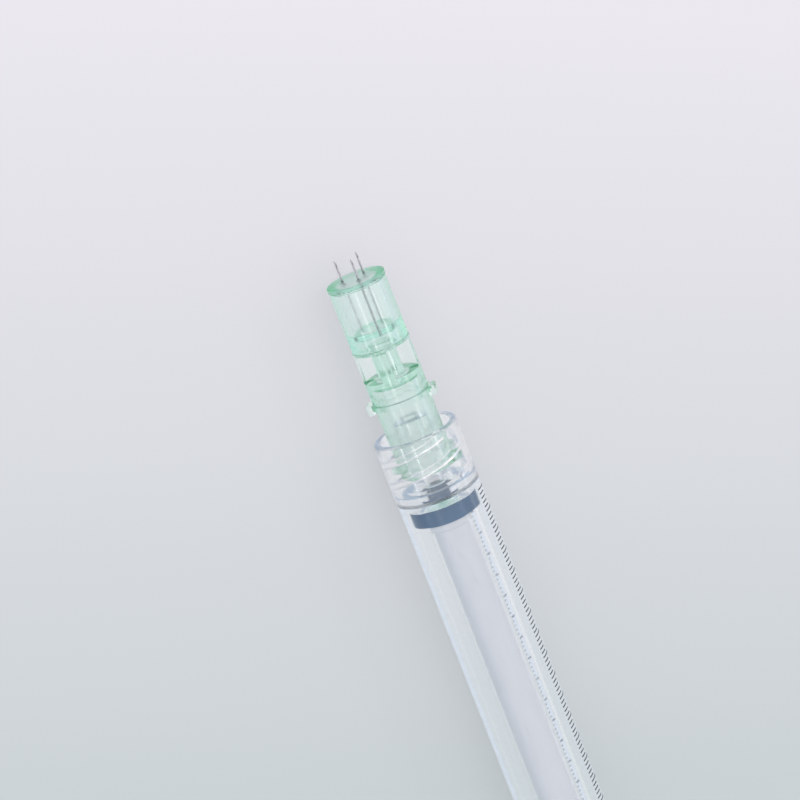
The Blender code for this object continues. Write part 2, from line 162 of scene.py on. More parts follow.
class MesoSyringeSizes(bpy.types.PropertyGroup):
    """Sizes of the lock collar, barrel, scale and plunger"""

    lead: length("Thread lead", "Advance of the collar's thread in a full turn", 5.0)
    crest: length("Thread crest", "Radius of the crest of the thread", 3.52)
    groove: length("Thread groove", "Radius of the groove between the thread's turns", 4.0)
    collar: length("Collar radius", "Outer radius of the lock collar", 4.75)
    barrel: length("Barrel radius", "Outer radius of the barrel", 4.7)
    bore: length("Bore radius", "Radius of the barrel's bore", 2.475)
    flange: length("Flange width", "Width of the finger flange", 20.0)
    rod: length("Rod radius", "Radius of the plunger rod", 2.125)
    mark_pitch: length("Mark pitch", "Distance between two marks of the scale", 0.512)
    mark_width: length("Mark width", "Thickness of a mark of the scale", 0.14)
    mark_start: turn("Mark start", "Angle at which the marks begin", 60)
    mark_turn: turn("Mark turn", "Angle that a short mark fills", 16)
    long_turn: turn("Long mark turn", "Angle that a long mark fills", 26)


class MesoColours(bpy.types.PropertyGroup):
    """Colours of the plastics, steel, rubber, ink and stage"""

    hub: tint("Hub", "Colour that the hub's plastic lets through", (0.29, 0.88, 0.63))
    cap: tint("Cap", "Colour that the cap's plastic lets through", (0.30, 0.955, 0.72))
    collar: tint("Collar", "Colour that the collar's plastic lets through", (0.80, 0.80, 0.90))
    barrel: tint("Barrel", "Colour that the barrel's plastic lets through", (0.55, 0.74, 0.92))
    steel: tint("Steel", "Colour of the needles' steel", (0.46, 0.45, 0.48))
    rod: tint("Rod", "Colour of the plunger rod", (0.88, 0.90, 0.95))
    stopper: tint("Stopper", "Colour of the rubber stopper", (0.125, 0.225, 0.37))
    ink: tint("Ink", "Colour of the printed scale", (0.012, 0.012, 0.014))
    # The floor's two colours paint shade on it: darker and bluer at the foot of the picture, paler at its
    # head
    shaded_floor_near: tint("Floor near", "Colour of the floor at the foot of the picture", (0.555, 0.60, 0.615))
    lit_floor_far: tint("Floor far", "Colour of the floor at the head of the picture", (0.775, 0.75, 0.80))
    horizon: tint("Horizon", "Colour of the room's light near the horizon", (0.62, 0.72, 0.86))
    sky: tint("Sky", "Colour of the room's light from above", (0.98, 0.98, 1.0))
    hub_density: amount("Hub density", "How fast the hub's colour deepens, per metre", 120.0)
    cap_density: amount("Cap density", "How fast the cap's colour deepens, per metre", 130.0)


# Shapes


def place(angle, radius):
    """Offset from the axis of a point at an angle round it."""
    return Vector((0.0, radius * math.cos(angle), radius * math.sin(angle)))


def around(count, first):
    """Angles of a number of equally spaced places round the axis."""
    return [first + math.tau * index / count for index in range(count)]


def draw_profile(shape, profile, angle=0.0, closed=True):
    """Adds a profile as wire and rounds its corners. Gives back the points of that wire."""
    verts = []
    for station, radius, _ in profile:
        verts.append(shape.verts.new(place(angle, radius) + Vector((station, 0.0, 0.0))))
    ends = verts[1:] + verts[:1] if closed else verts[1:]
    for pair in zip(verts, ends):
        shape.edges.new(pair)
    for vert, (_, _, fillet) in zip(verts, profile):
        if fillet > 0.0:
            bmesh.ops.bevel(
                shape,
                geom=[vert],
                offset=fillet,
                affect="VERTICES",
                segments=CORNER_SEGMENTS,
                profile=0.5,
                material=-1,
            )
    return [vert for vert in shape.verts if not vert.link_faces]


def round_edges(shape, edges, radius, segments):
    """Rounds the edges of a shape."""
    bmesh.ops.bevel(
        shape, geom=edges, offset=radius, affect="EDGES", segments=segments, profile=0.5, material=-1
    )


def lathe(profile, steps=ROUND):
    """Turns a profile round the axis. One that starts and ends on the axis is left open there."""
    shape = bmesh.new()
    verts = draw_profile(shape, profile, closed=profile[0][1] > 0.0)
    bmesh.ops.spin(
        shape,
        geom=verts + list(shape.edges),
        cent=(0.0, 0.0, 0.0),
        axis=(1.0, 0.0, 0.0),
        angle=math.tau,
        steps=steps,
        use_merge=True,
    )
    bmesh.ops.remove_doubles(shape, verts=shape.verts, dist=WELD)
    bmesh.ops.recalc_face_normals(shape, faces=shape.faces)
    return shape


def sweep(shape, profile, start, arc, steps, lead=0.0):
    """Adds a profile swept part of the way round the axis, advancing by lead in a full turn."""
    verts = draw_profile(shape, profile, angle=start)
    wire = [edge for edge in shape.edges if not edge.link_faces]
    bmesh.ops.spin(
        shape,
        geom=verts + wire,
        cent=(0.0, 0.0, 0.0),
        axis=(1.0, 0.0, 0.0),
        dvec=(lead * arc / math.tau / steps, 0.0, 0.0),
        angle=arc,
        steps=steps,
    )
    rims = [edge for edge in shape.edges if edge.is_boundary]
    bmesh.ops.holes_fill(shape, edges=rims, sides=0)
    bmesh.ops.recalc_face_normals(shape, faces=shape.faces)


def add_object(name, shape):
    """Puts a shape in an object of its own."""
    mesh = bpy.data.meshes.new(name)
    shape.to_mesh(mesh)
    shape.free()
    holder = bpy.data.objects.new(name, mesh)
    bpy.context.scene.collection.objects.link(holder)
    return holder


def combine(base, tool, operation):
    """Joins a tool shape to a base shape, or cuts it out of it."""
    body = add_object("temporary", base)
    cutter = add_object("temporary", tool)
    boolean = body.modifiers.new("combine", "BOOLEAN")
    boolean.operation = operation
    boolean.solver = "EXACT"
    boolean.object = cutter
    graph = bpy.context.evaluated_depsgraph_get()
    result = bmesh.new()
    result.from_object(body, graph)
    for holder in (body, cutter):
        mesh = holder.data
        bpy.data.objects.remove(holder, do_unlink=True)
        bpy.data.meshes.remove(mesh)
    bmesh.ops.remove_doubles(result, verts=result.verts, dist=2 * WELD)
    return result


def finish_piece(name, shape, body, nodes, material, offset=Vector()):
    """Sets a shape at its place in the frame, and makes it the piece that stands for its CAD nodes."""
    bmesh.ops.translate(shape, vec=Vector((FACE, 0.0, AXIS_HEIGHT)) + offset, verts=shape.verts)
    piece = add_object(name, shape)
    piece.data.materials.append(material)
    piece.data.shade_smooth()
    piece.data.set_sharp_from_angle(angle=SHARP_ANGLE)
    even = piece.modifiers.new("even shading", "WEIGHTED_NORMAL")
    even.keep_sharp = True
    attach(piece, body)
    if nodes:
        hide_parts(*nodes)
    return piece


# Parts of materials


def new_group(name, inputs, outputs):
    """An empty shader node group with its sockets."""
    group = bpy.data.node_groups.new(name, "ShaderNodeTree")
    for label, kind, value in inputs:
        socket = group.interface.new_socket(name=label, in_out="INPUT", socket_type=kind)
        socket.default_value = value
    for label, kind in outputs:
        group.interface.new_socket(name=label, in_out="OUTPUT", socket_type=kind)
    return group, group.nodes.new("NodeGroupInput").outputs, group.nodes.new("NodeGroupOutput").inputs


def feed(tree, socket, value):
    """Gives a socket a value, or the output of another node."""
    if isinstance(value, bpy.types.NodeSocket):
        tree.links.new(value, socket)
    else:
        socket.default_value = value


def compute(tree, operation, *terms):
    """The result of a sum on numbers or on the outputs of other nodes."""
    node = tree.nodes.new("ShaderNodeMath")
    node.operation = operation
    for socket, term in zip(node.inputs, terms):
        feed(tree, socket, term)
    return node.outputs["Value"]


def read_noise(tree, vector, scale, detail):
    """The grey value of a noise texture."""
    node = tree.nodes.new("ShaderNodeTexNoise")
    feed(tree, node.inputs["Vector"], vector)
    feed(tree, node.inputs["Scale"], scale)
    feed(tree, node.inputs["Detail"], detail)
    return node.outputs["Fac"]


def read_bump(tree, height, strength, distance):
    """The normal of a skin that rises and falls with a height."""
    node = tree.nodes.new("ShaderNodeBump")
    feed(tree, node.inputs["Height"], height)
    feed(tree, node.inputs["Strength"], strength)
    feed(tree, node.inputs["Distance"], distance)
    return node.outputs["Normal"]


def blend_colours(tree, factor, first, second):
    """The blend of two colours, which are inputs 6 and 7 and output 2 of their node."""
    node = tree.nodes.new("ShaderNodeMix")
    node.data_type = "RGBA"
    feed(tree, node.inputs[0], factor)
    feed(tree, node.inputs[6], first)
    feed(tree, node.inputs[7], second)
    return node.outputs[2]


def moulded_group():
    """Moulded plastic: a slow waviness of the skin and a faint haze that comes and goes."""
    name = "moulded skin"
    if name in bpy.data.node_groups:
        return bpy.data.node_groups[name]
    group, given, result = new_group(
        name,
        [
            ("Scale", "NodeSocketFloat", 900.0),
            ("Haze", "NodeSocketFloat", 0.05),
            ("Haze Range", "NodeSocketFloat", 0.05),
            ("Wave", "NodeSocketFloat", 0.1),
            ("Depth", "NodeSocketFloat", 0.02 * MM),
            ("Frost", "NodeSocketFloat", 0.0),
            ("Frost Edge", "NodeSocketFloat", 0.0),
        ],
        [("Roughness", "NodeSocketFloat"), ("Normal", "NodeSocketVector")],
    )
    haze_detail = 3.0
    wave_detail = 1.0
    wave_share = 0.45
    spot = group.nodes.new("ShaderNodeTexCoord").outputs["Object"]
    haze = read_noise(group, spot, given["Scale"], haze_detail)
    spread = compute(group, "MULTIPLY_ADD", haze, given["Haze Range"], given["Haze"])
    parts = group.nodes.new("ShaderNodeSeparateXYZ")
    feed(group, parts.inputs["Vector"], spot)
    before = compute(group, "LESS_THAN", parts.outputs["X"], given["Frost Edge"])
    frosted = compute(group, "MULTIPLY_ADD", before, given["Frost"], spread)
    slow = compute(group, "MULTIPLY", given["Scale"], wave_share)
    wave = read_noise(group, spot, slow, wave_detail)
    feed(group, result["Roughness"], frosted)
    feed(group, result["Normal"], read_bump(group, wave, given["Wave"], given["Depth"]))
    return group


def grain_group():
    """Fine grain for opaque pieces: it shifts a colour a little and roughens the skin."""
    name = "fine grain"
    if name in bpy.data.node_groups:
        return bpy.data.node_groups[name]
    group, given, result = new_group(
        name,
        [
            ("Colour", "NodeSocketColor", (0.5, 0.5, 0.5, 1.0)),
            ("Scale", "NodeSocketFloat", 5000.0),
            ("Stretch", "NodeSocketVector", (1.0, 1.0, 1.0)),
            ("Shift", "NodeSocketFloat", 0.15),
            ("Roughness", "NodeSocketFloat", 0.5),
            ("Roughness Range", "NodeSocketFloat", 0.15),
            ("Bump", "NodeSocketFloat", 0.2),
            ("Depth", "NodeSocketFloat", 0.01 * MM),
        ],
        [("Colour", "NodeSocketColor"), ("Roughness", "NodeSocketFloat"), ("Normal", "NodeSocketVector")],
    )
    grain_detail = 4.0
    middle_grey = 0.5
    stretch = group.nodes.new("ShaderNodeVectorMath")
    stretch.operation = "MULTIPLY"
    feed(group, stretch.inputs[0], group.nodes.new("ShaderNodeTexCoord").outputs["Object"])
    feed(group, stretch.inputs[1], given["Stretch"])
    grain = read_noise(group, stretch.outputs["Vector"], given["Scale"], grain_detail)
    centred = compute(group, "SUBTRACT", grain, middle_grey)
    shaded = group.nodes.new("ShaderNodeVectorMath")
    shaded.operation = "SCALE"
    feed(group, shaded.inputs[0], given["Colour"])
    feed(group, shaded.inputs["Scale"], compute(group, "MULTIPLY_ADD", centred, given["Shift"], 1.0))
    rough = compute(group, "MULTIPLY_ADD", centred, given["Roughness Range"], given["Roughness"])
    feed(group, result["Colour"], shaded.outputs["Vector"])
    feed(group, result["Roughness"], rough)
    feed(group, result["Normal"], read_bump(group, grain, given["Bump"], given["Depth"]))
    return group


def blank_material(name):
    """A new material with its Principled shader and output."""
    material = bpy.data.materials.new(name)
    material.use_nodes = True
    nodes = material.node_tree.nodes
    return material, nodes["Principled BSDF"], nodes["Material Output"]


def add_group(material, group, values):
    """Sets a shared effect in a material, with the values that it has there."""
    node = material.node_tree.nodes.new("ShaderNodeGroup")
    node.node_tree = group
    for label, value in values.items():
        node.inputs[label].default_value = value
    return node.outputs


def clear_plastic(name, through, density, ior, haze, haze_range, wave, frost=0.0):
    """Clear moulded plastic, whose colour deepens with the thickness that light goes through.

    Frost is extra haze on the face that the needles stand on.
    """
    if name in bpy.data.materials:
        return bpy.data.materials[name]
    material, shader, output = blank_material(name)
    tree = material.node_tree
    shader.inputs["Base Color"].default_value = WHITE
    shader.inputs["Transmission Weight"].default_value = 1.0
    shader.inputs["IOR"].default_value = ior
    values = {
        "Haze": haze,
        "Haze Range": haze_range,
        "Wave": wave,
        "Frost": frost,
        "Frost Edge": FACE + FROST_DEPTH,
    }
    skin = add_group(material, moulded_group(), values)
    feed(tree, shader.inputs["Roughness"], skin["Roughness"])
    feed(tree, shader.inputs["Normal"], skin["Normal"])
    absorb = tree.nodes.new("ShaderNodeVolumeAbsorption")
    absorb.inputs["Color"].default_value = (*through, 1.0)
    absorb.inputs["Density"].default_value = density
    feed(tree, output.inputs["Volume"], absorb.outputs["Volume"])
    return material


def grained(name, colour, scale, shift, roughness, bump, stretch=(1.0, 1.0, 1.0), metallic=0.0):
    """An opaque material with fine grain."""
    if name in bpy.data.materials:
        return bpy.data.materials[name]
    material, shader, _ = blank_material(name)
    shader.inputs["Metallic"].default_value = metallic
    values = {
        "Colour": (*colour, 1.0),
        "Scale": scale,
        "Stretch": stretch,
        "Shift": shift,
        "Roughness": roughness,
        "Bump": bump,
    }
    grain = add_group(material, grain_group(), values)
    feed(material.node_tree, shader.inputs["Base Color"], grain["Colour"])
    feed(material.node_tree, shader.inputs["Roughness"], grain["Roughness"])
    feed(material.node_tree, shader.inputs["Normal"], grain["Normal"])
    return material


# Materials


def hub_plastic(colours):
    """Mint green, with a waviness that breaks up what shows through it."""
    return clear_plastic(
        "mint hub plastic",
        through=colours.hub,
        density=colours.hub_density,
        ior=1.53,
        haze=0.10,
        haze_range=0.16,
        wave=0.6,
    )


def cap_plastic(colours):
    """Paler green, frosted on the face."""
    return clear_plastic(
        "pale cap plastic",
        through=colours.cap,
        density=colours.cap_density,
        ior=1.53,
        haze=0.10,
        haze_range=0.14,
        wave=0.6,
        frost=0.2,
    )


def collar_plastic(colours):
    """Almost colourless."""
    return clear_plastic(
        "colourless collar plastic",
        through=colours.collar,
        density=8.0,
        ior=1.50,
        haze=0.05,
        haze_range=0.12,
        wave=0.4,
    )


def barrel_plastic(colours):
    """Faintly blue and smooth."""
    return clear_plastic(
        "bluish barrel plastic",
        through=colours.barrel,
        density=17.0,
        ior=1.50,
        haze=0.09,
        haze_range=0.08,
        wave=0.1,
    )


def cured_adhesive(colours):
    """Clear and glossy."""
    return clear_plastic(
        "cured adhesive",
        through=colours.collar,
        density=10.0,
        ior=1.48,
        haze=0.02,
        haze_range=0.03,
        wave=0.1,
    )


def needle_steel(colours):
    """Steel with the long fine lines of drawn tube."""
    return grained(
        "drawn needle steel",
        colour=colours.steel,
        scale=9000.0,
        shift=0.25,
        roughness=0.24,
        bump=0.15,
        stretch=(0.04, 1.0, 1.0),
        metallic=1.0,
    )


def scale_ink(colours):
    """Black printed ink, a little uneven."""
    return grained(
        "black ink",
        colour=colours.ink,
        scale=9000.0,
        shift=0.4,
        roughness=0.4,
        bump=0.2,
    )


def stopper_rubber(colours):
    """Slate blue rubber with a satin skin."""
    return grained(
        "slate rubber",
        colour=colours.stopper,
        scale=6000.0,
        shift=0.3,
        roughness=0.42,
        bump=0.3,
    )


def rod_plastic(colours):
    """Milky plastic with faint flow lines along it."""
    return grained(
        "milky rod plastic",
        colour=colours.rod,
        scale=1500.0,
        shift=0.05,
        roughness=0.3,
        bump=0.1,
        stretch=(0.2, 1.0, 1.0),
    )


# Pieces


class MESO_OT_needles(bpy.types.Operator):
    """Builds the three ground needles and the adhesive spot at the foot of each"""

    bl_idname = "meso.needles"
    bl_label = "Needles and Adhesive"

    needles = 3
    # The spot starts in the plate, and narrows at a share of its height to a share of its radius
    spot_start = 0.02 * MM
    spot_shoulder = 0.45
    spot_waist = 0.86
    spot_brim = 0.05 * MM

    def execute(self, context):
        sizes = context.scene.meso_needle
        colours = context.scene.meso_colours
        steel = needle_steel(colours)
        glue = cured_adhesive(colours)
        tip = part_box("needle_1")[0].x - FACE
        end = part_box("needle_1")[1].x - FACE
        tube = [
            (tip, sizes.radius, 0.0),
            (end, sizes.radius, 0.0),
            (end, sizes.bore, 0.0),
            (tip, sizes.bore, 0.0),
        ]
        spot = [
            (self.spot_start, sizes.radius, 0.0),
            (self.spot_start, sizes.glue_radius, 0.0),
            (-self.spot_shoulder * sizes.glue_height, self.spot_waist * sizes.glue_radius, 0.06 * MM),
            (-sizes.glue_height, sizes.radius + self.spot_brim, 0.03 * MM),
            (-sizes.glue_height, sizes.radius, 0.0),
        ]
        for number, angle in enumerate(around(self.needles, sizes.first_angle), start=1):
            offset = place(angle, sizes.circle)
            shape = lathe(tube, FINE)
            # Slants the front end into the ground point
            for vert in shape.verts:
                if vert.co.x < 0.0:
                    vert.co.x += (sizes.radius + vert.co.z) / math.tan(sizes.bevel)
            node = f"needle_{number}"
            finish_piece(f"ground_{node}", shape, "needle_unit", [node], steel, offset)
            node = f"adhesive_bead_{number}"
            shape = lathe(spot, FINE)
            finish_piece(f"adhesive_spot_{number}", shape, "needle_unit", [node], glue, offset)
        return {"FINISHED"}


class MESO_OT_hub(bpy.types.Operator):
    """Builds the cap with its carrier and clear chamber, and the ribbed hub with ears and lugs"""

    bl_idname = "meso.hub"
    bl_label = "Cap, Carrier and Hub"

    # Stations
    carrier_start = 5.7 * MM
    recess_start = 6.4 * MM
    boss_start = 7.25 * MM
    cap_end = 7.63 * MM
    body_start = 7.65 * MM
    bead_end = 7.95 * MM
    pocket_start = 8.0 * MM
    funnel_end = 8.55 * MM
    pocket_end = 11.3 * MM
    socket_start = 12.25 * MM
    ring_start = 13.8 * MM
    ring_end = 14.4 * MM
    ear_end = 14.9 * MM
    # Radii
    feed_bore = 0.45 * MM
    funnel = 1.05 * MM
    boss = 1.5 * MM
    recess = 1.68 * MM
    # How far the bead, ring and ears stand out, and how long the slope behind a bead is
    bead_height = 0.07 * MM
    ring_height = 0.25 * MM
    ear_height = 0.5 * MM
    rim_slope = 0.05 * MM
    bead_slope = 0.03 * MM
    ear_width = 1.7 * MM
    ear_round = 0.12 * MM
    ear_segments = 3
    # How deep a lug starts in the skirt, and how far it goes round
    lug_root = 0.3 * MM
    lug_arc = math.radians(45)
    ribs = 4
    pocket_steps = 24
    lug_steps = 16

    def build_cap(self, sizes, material):
        """The cap and the carrier bonded in it, with the clear chamber between them."""
        outer = sizes.chamber + sizes.wall
        rim = outer + self.bead_height
        solid = [
            (0.0, 0.0, 0.0),
            (0.0, rim, 0.08 * MM),
            (sizes.plate, rim, 0.04 * MM),
            (sizes.plate + self.rim_slope, outer, 0.04 * MM),
            (self.cap_end, outer, 0.05 * MM),
            (self.cap_end, self.recess, 0.03 * MM),
            (self.recess_start, self.recess, 0.15 * MM),
            (self.recess_start, 0.0, 0.0),
        ]
        chamber = [
            (sizes.plate, 0.0, 0.0),
            (sizes.plate, sizes.chamber, 0.2 * MM),
            (self.carrier_start, sizes.chamber, 0.06 * MM),
            (self.carrier_start, 0.0, 0.0),
        ]
        shape = combine(lathe(solid), lathe(chamber), "DIFFERENCE")
        nodes = ["needle_cap", "needle_carrier"]
        finish_piece("clear_cap", shape, "needle_unit", nodes, material)

    def cut_pockets(self, sizes, shape, outer):
        """Cuts the pockets between the ribs down to the boss."""
        pockets = bmesh.new()
        window = [
            (self.pocket_start, self.boss, 0.15 * MM),
            (self.pocket_start, 2 * outer, 0.0),
            (self.pocket_end, 2 * outer, 0.0),
            (self.pocket_end, self.boss, 0.15 * MM),
        ]
        arc = math.tau / self.ribs - sizes.rib_width
        for angle in around(self.ribs, sizes.lug_angle + sizes.rib_width / 2):
            sweep(pockets, window, angle, arc, self.pocket_steps)
        return combine(shape, pockets, "DIFFERENCE")

    def add_ears(self, sizes, shape, ring):
        """Adds the two ears that stand out of the ring for a better grip."""
        reach = ring + self.ear_height
        size = (self.ear_end - self.ring_start, reach - sizes.skirt, self.ear_width)
        middle = Vector(((self.ring_start + self.ear_end) / 2, (reach + sizes.skirt) / 2, 0.0))
        for angle in around(STARTS, sizes.lug_angle):
            ear = bmesh.new()
            bmesh.ops.create_cube(ear, size=1.0)
            bmesh.ops.scale(ear, vec=size, verts=ear.verts)
            bmesh.ops.translate(ear, vec=middle, verts=ear.verts)
            outside = [edge for edge in ear.edges if all(vert.co.y > middle.y for vert in edge.verts)]
            round_edges(ear, outside, self.ear_round, self.ear_segments)
            bmesh.ops.rotate(ear, matrix=Matrix.Rotation(angle, 3, "X"), verts=ear.verts)
            shape = combine(shape, ear, "UNION")
        return shape

    def add_lugs(self, sizes, shape, lead):
        """Adds the two locking lugs, which follow the collar's thread."""
        lugs = bmesh.new()
        root = sizes.skirt - self.lug_root
        root_half = LUG_HALF + FLANK_SLOPE * (LUG_RADIUS - root)
        start = LUG_STATION - lead * self.lug_arc / 2 / math.tau
        section = [
            (start - root_half, root, 0.0),
            (start - LUG_HALF, LUG_RADIUS, 0.1 * MM),
            (start + LUG_HALF, LUG_RADIUS, 0.1 * MM),
            (start + root_half, root, 0.0),
        ]
        for angle in around(STARTS, sizes.lug_angle - self.lug_arc / 2):
            sweep(lugs, section, angle, self.lug_arc, self.lug_steps, lead)
        return combine(shape, lugs, "UNION")

    def build_body(self, sizes, lead, material):
        """The hub: a ribbed middle between two webs, and the needle socket with its ring and lugs."""
        outer = sizes.chamber + sizes.wall
        bead = outer + self.bead_height
        ring = outer + self.ring_height
        cone_end = sizes.socket - CONE_SLOPE * (HUB_END - self.socket_start)
        profile = [
            (self.boss_start, self.funnel, 0.05 * MM),
            (self.boss_start, self.boss, 0.06 * MM),
            (self.body_start, self.boss, 0.05 * MM),
            (self.body_start, bead, 0.06 * MM),
            (self.bead_end, bead, 0.06 * MM),
            (self.bead_end + self.bead_slope, outer, 0.01 * MM),
            (self.ring_start, outer, 0.06 * MM),
            (self.ring_start, ring, 0.06 * MM),
            (self.ring_end, ring, 0.06 * MM),
            (self.ring_end, sizes.skirt, 0.1 * MM),
            (HUB_END, sizes.skirt, 0.12 * MM),
            (HUB_END, sizes.socket, 0.08 * MM),
            (self.socket_start, cone_end, 0.3 * MM),
            (self.socket_start, self.feed_bore, 0.05 * MM),
            (self.funnel_end, self.feed_bore, 0.05 * MM),
            (self.funnel_end, self.funnel, 0.2 * MM),
        ]
        shape = self.cut_pockets(sizes, lathe(profile), outer)
        shape = self.add_ears(sizes, shape, ring)
        shape = self.add_lugs(sizes, shape, lead)
        finish_piece("ribbed_hub", shape, "needle_unit", ["hub_body"], material)

    def execute(self, context):
        sizes = context.scene.meso_needle
        colours = context.scene.meso_colours
        self.build_cap(sizes, cap_plastic(colours))
        self.build_body(sizes, context.scene.meso_syringe.lead, hub_plastic(colours))
        return {"FINISHED"}


class MESO_OT_collar(bpy.types.Operator):
    """Builds the lock collar with its double-start thread"""

    bl_idname = "meso.collar"
    bl_label = "Lock Collar"

    mouth = 18.1 * MM
    thread_start = 18.85 * MM
    thread_end = 23.75 * MM
    floor = 24.496 * MM
    end = 25.404 * MM
    neck_hole = 2.996 * MM
    # Half the width of the thread's crest, how deep it starts in the wall, and its gap to a lug
    crest_half = 0.32 * MM
    thread_root = 0.25 * MM
    lug_gap = 0.05 * MM
    thread_steps = 126

    def execute(self, context):
        sizes = context.scene.meso_syringe
        lug_angle = context.scene.meso_needle.lug_angle
        profile = [
            (self.mouth, sizes.groove, 0.3 * MM),
            (self.mouth, sizes.collar, 0.3 * MM),
            (self.end, sizes.collar, 0.08 * MM),
            (self.end, self.neck_hole, 0.0),
            (self.floor, self.neck_hole, 0.0),
            (self.floor, sizes.groove, 0.2 * MM),
        ]
        root = sizes.groove + self.thread_root
        root_half = self.crest_half + FLANK_SLOPE * (root - sizes.crest)
        section = [
            (self.thread_start - self.crest_half, sizes.crest, 0.12 * MM),
            (self.thread_start - root_half, root, 0.0),
            (self.thread_start + root_half, root, 0.0),
            (self.thread_start + self.crest_half, sizes.crest, 0.12 * MM),
        ]
        flanks = FLANK_SLOPE * (LUG_RADIUS - sizes.crest)
        at_lug = LUG_STATION - LUG_HALF - self.crest_half - flanks - self.lug_gap
        arc = (self.thread_end - self.thread_start) / sizes.lead * math.tau
        start = lug_angle - (at_lug - self.thread_start) / sizes.lead * math.tau
        ridges = bmesh.new()
        for angle in around(STARTS, start):
            sweep(ridges, section, angle, arc, self.thread_steps, sizes.lead)
        shape = combine(lathe(profile), ridges, "UNION")
        material = collar_plastic(context.scene.meso_colours)
        finish_piece("threaded_collar", shape, "lock_collar", ["lock_collar"], material)
        return {"FINISHED"}


class MESO_OT_barrel(bpy.types.Operator):
    """Builds the barrel with its tip, neck, bore and finger flange"""

    bl_idname = "meso.barrel"
    bl_label = "Barrel"

    # Stations
    tip_start = 16.5 * MM
    lip_start = 24.1 * MM
    seat_start = 24.3 * MM
    neck_start = 24.5 * MM
    shoulder = 25.4 * MM
    seat_end = 25.9 * MM
    bore_start = 26.6 * MM
    flange_start = 88.0 * MM
    flange_end = 89.6 * MM
    # Radii
    tip_bore = 0.7 * MM
    seat = 1.35 * MM
    neck = 3.0 * MM
    lip = 3.3 * MM
    # The gap between tip and socket, and how the flange's rim and the bore's mouth are eased
    clearance = 0.02 * MM
    flange_round = 0.35 * MM
    mouth_flare = 0.35 * MM
    # How far the tube runs into the flange, and the cutter past the tip
    overlap = 0.8 * MM
    overcut = 2 * MM

    def flange(self, sizes):
        """The finger flange: a plate with round ends, as deep as the collar is wide."""
        shape = bmesh.new()
        depth = sizes.collar
        offset = sizes.flange / 2 - depth
        steps = ROUND // 4
        verts = []
        for side, first in ((1, -math.pi / 2), (-1, math.pi / 2)):
            for index in range(steps + 1):
                angle = first + math.pi * index / steps
                y = side * offset + depth * math.cos(angle)
                verts.append(shape.verts.new((self.flange_start, y, depth * math.sin(angle))))
        face = shape.faces.new(verts)
        wall = bmesh.ops.extrude_face_region(shape, geom=[face])
        far = [item for item in wall["geom"] if isinstance(item, bmesh.types.BMVert)]
        bmesh.ops.translate(shape, vec=(self.flange_end - self.flange_start, 0.0, 0.0), verts=far)
        bmesh.ops.recalc_face_normals(shape, faces=shape.faces)
        rims = [edge for edge in shape.edges if abs(edge.verts[0].co.x - edge.verts[1].co.x) < WELD]
        round_edges(shape, rims, self.flange_round, CORNER_SEGMENTS)
        return shape

    def execute(self, context):
        sizes = context.scene.meso_syringe
        socket = context.scene.meso_needle.socket - self.clearance
        tip = socket - CONE_SLOPE * (HUB_END - self.tip_start)
        root = socket + CONE_SLOPE * (self.lip_start - HUB_END)
        tube_end = self.flange_start + self.overlap
        cutter_start = self.tip_start - self.overcut
        cutter_end = self.flange_end + self.mouth_flare
        outside = [
            (self.tip_start, 0.0, 0.0),
            (self.tip_start, tip, 0.12 * MM),
            (self.lip_start, root, 0.15 * MM),
            (self.lip_start, self.lip, 0.1 * MM),
            (self.neck_start, self.lip, 0.0),
            (self.neck_start, self.neck, 0.0),
            (self.shoulder, self.neck, 0.0),
            (self.shoulder, sizes.barrel, 0.08 * MM),
            (tube_end, sizes.barrel, 0.0),
            (tube_end, 0.0, 0.0),
        ]
        hollow = [
            (cutter_start, 0.0, 0.0),
            (cutter_start, self.tip_bore, 0.0),
            (self.seat_start, self.tip_bore, 0.05 * MM),
            (self.seat_start, self.seat, 0.1 * MM),
            (self.seat_end, self.seat, 0.0),
            (self.bore_start, sizes.bore, 0.0),
            (self.flange_end - self.mouth_flare, sizes.bore, 0.15 * MM),
            (cutter_end, sizes.bore + 2 * self.mouth_flare, 0.0),
            (cutter_end, 0.0, 0.0),
        ]
        shape = combine(lathe(outside), self.flange(sizes), "UNION")
        shape = combine(shape, lathe(hollow), "DIFFERENCE")
        material = barrel_plastic(context.scene.meso_colours)
        finish_piece("clear_barrel", shape, "barrel", ["barrel"], material)
        return {"FINISHED"}


class MESO_OT_scale(bpy.types.Operator):
    """Prints the scale of 1 ml on the barrel, with a long mark at every fifth line"""

    bl_idname = "meso.scale"
    bl_label = "Scale"

    zero = 26.4 * MM
    marks = 101
    long_every = 5
    # How far the ink's underside and top stand off the barrel
    ink_start = 0.002 * MM
    ink_top = 0.014 * MM
    mark_steps = 12

    def execute(self, context):
        sizes = context.scene.meso_syringe
        shape = bmesh.new()
        half = sizes.mark_width / 2
        low = sizes.barrel + self.ink_start
        high = sizes.barrel + self.ink_top
        for index in range(self.marks):
            station = self.zero + index * sizes.mark_pitch
            arc = sizes.long_turn if index % self.long_every == 0 else sizes.mark_turn
            section = [
                (station - half, low, 0.0),
                (station - half, high, 0.0),
                (station + half, high, 0.0),
                (station + half, low, 0.0),
            ]
            sweep(shape, section, sizes.mark_start - arc, arc, self.mark_steps)
        ink = scale_ink(context.scene.meso_colours)
        finish_piece("printed_scale", shape, "barrel", [], ink)
        return {"FINISHED"}


